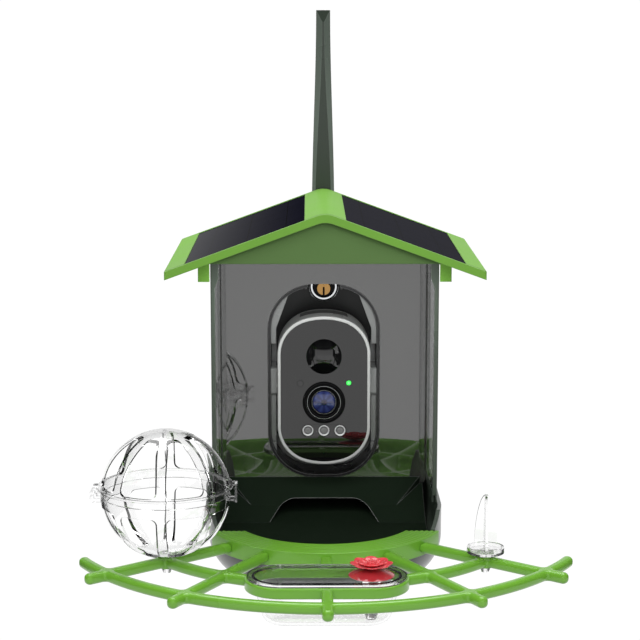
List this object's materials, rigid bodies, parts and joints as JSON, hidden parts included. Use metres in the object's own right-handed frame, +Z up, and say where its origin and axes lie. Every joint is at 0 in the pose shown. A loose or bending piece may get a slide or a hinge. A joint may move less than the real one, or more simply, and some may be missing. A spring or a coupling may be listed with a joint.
{
  "type": "smart bird feeder",
  "caption": "House-shaped camera bird feeder with a lift-off solar roof, seed hopper and tray, perch web, drinking cup with flower, clear fruit ball and spike, and a folding antenna.",
  "frame": {"origin": "mouth of the pole thread in the middle of the flat bottom of the tray, on the floor", "axes": "+X right seen from the front, +Y to the back, +Z up"},
  "size_m": [0.3162, 0.362, 0.3794],
  "materials": {
    "green_plastic": "satin",
    "dark_plastic": "satin",
    "black_plastic": "satin",
    "smoked_plastic": "polished",
    "face_gloss": "polished",
    "grey_plastic": "satin",
    "clear_plastic": "polished",
    "lens_glass": "polished",
    "led_clear": "polished",
    "led_green": "polished",
    "solar_glass": "polished",
    "red_plastic": "satin",
    "chrome": "polished",
    "brass": "satin",
    "steel": "brushed",
    "rubber": "matte",
    "circuit": "satin",
    "cell_wrap": "satin",
    "speaker_metal": "satin",
    "wire": "satin"
  },
  "bodies": {
    "house": {"tray": "dark_plastic", "seed_insert": "black_plastic", "side_frame_left": "dark_plastic", "side_frame_right": "dark_plastic", "side_window_left": "clear_plastic", "side_window_right": "clear_plastic", "back_wall": "black_plastic", "front_panel": "smoked_plastic", "camera_bay": "black_plastic", "camera_cradle": "grey_plastic", "lock_bezel": "chrome", "contact_pins": "brass", "pole_insert": "brass", "wall_bracket": "black_plastic", "bracket_screws": "steel", "frame_screws": "steel", "apron_screws": "steel", "apron": "green_plastic", "perch_web": "green_plastic", "antenna_base": "brass"},
    "roof": {"roof_shell": "green_plastic", "solar_panel_left": "solar_glass", "solar_panel_right": "solar_glass", "roof_liner": "black_plastic", "roof_seal": "rubber", "solar_wires": "wire", "contact_pads": "brass", "roof_screws": "steel"},
    "camera": {"camera_shell": "grey_plastic", "camera_back": "black_plastic", "face_plate": "face_gloss", "pir_dome": "face_gloss", "lens_barrel": "black_plastic", "lens_glass": "lens_glass", "led_plate": "black_plastic", "ir_leds": "led_clear", "status_led": "led_green", "light_sensor": "led_clear", "circuit_board": "circuit", "battery_cells": "cell_wrap", "speaker": "speaker_metal", "camera_seal": "rubber", "port_cover": "grey_plastic", "tilt_pins": "steel"},
    "button": {"power_button": "grey_plastic"},
    "lock": {"lock_screw": "brass"},
    "antenna_swivel": {"antenna_knuckle": "dark_plastic", "antenna_pin": "steel"},
    "antenna": {"antenna_blade": "dark_plastic"},
    "ball": {"ball_lower": "clear_plastic", "ball_hinge_pin": "clear_plastic"},
    "ball_lid": {"ball_upper": "clear_plastic", "ball_clasp": "clear_plastic"},
    "cup": {"water_cup": "clear_plastic"},
    "flower": {"flower": "red_plastic", "flower_base": "red_plastic", "flower_stem": "red_plastic"},
    "spike": {"fruit_spike": "clear_plastic"}
  },
  "joints": [
    {"name": "roof_lift", "type": "slide", "parent": "house", "child": "roof", "axis": [0, 0, 1], "range_m": [0, 0.08]},
    {"name": "camera_tilt", "type": "hinge", "parent": "house", "child": "camera", "pos_m": [0, 0.055, 0.1085], "axis": [1, 0, 0], "range_deg": [-10, 10]},
    {"name": "power_button_press", "type": "slide", "parent": "camera", "child": "button", "axis": [0, 0, 1], "range_m": [0, 0.0008], "stiffness_N_per_m": 400, "springref_m": -0.001},
    {"name": "camera_lock_turn", "type": "hinge", "parent": "house", "child": "lock", "pos_m": [0, 0.0536, 0.1794], "axis": [0, 1, 0], "range_deg": [0, 90]},
    {"name": "antenna_swivel", "type": "hinge", "parent": "house", "child": "antenna_swivel", "pos_m": [0, 0.0955, 0.198], "axis": [0, 1, 0], "range_deg": [-90, 90]},
    {"name": "antenna_fold", "type": "hinge", "parent": "antenna_swivel", "child": "antenna", "pos_m": [0, 0.111, 0.198], "axis": [-1, 0, 0], "range_deg": [0, 90]},
    {"name": "fruit_ball_turn", "type": "hinge", "parent": "house", "child": "ball", "pos_m": [-0.10224, -0.13091, 0.0757], "axis": [0, 0, 1], "continuous": true},
    {"name": "fruit_ball_lid", "type": "hinge", "parent": "ball", "child": "ball_lid", "pos_m": [-0.14824, -0.13091, 0.07585], "axis": [0, -1, 0], "range_deg": [0, 100]},
    {"name": "cup_lift", "type": "slide", "parent": "house", "child": "cup", "axis": [0, 0, 1], "range_m": [0, 0.04]},
    {"name": "flower_lift", "type": "slide", "parent": "cup", "child": "flower", "axis": [0, 0, 1], "range_m": [0, 0.03]},
    {"name": "fruit_spike_turn", "type": "hinge", "parent": "house", "child": "spike", "pos_m": [0.10224, -0.13091, 0.0365], "axis": [0, 0, 1], "continuous": true}
  ]
}
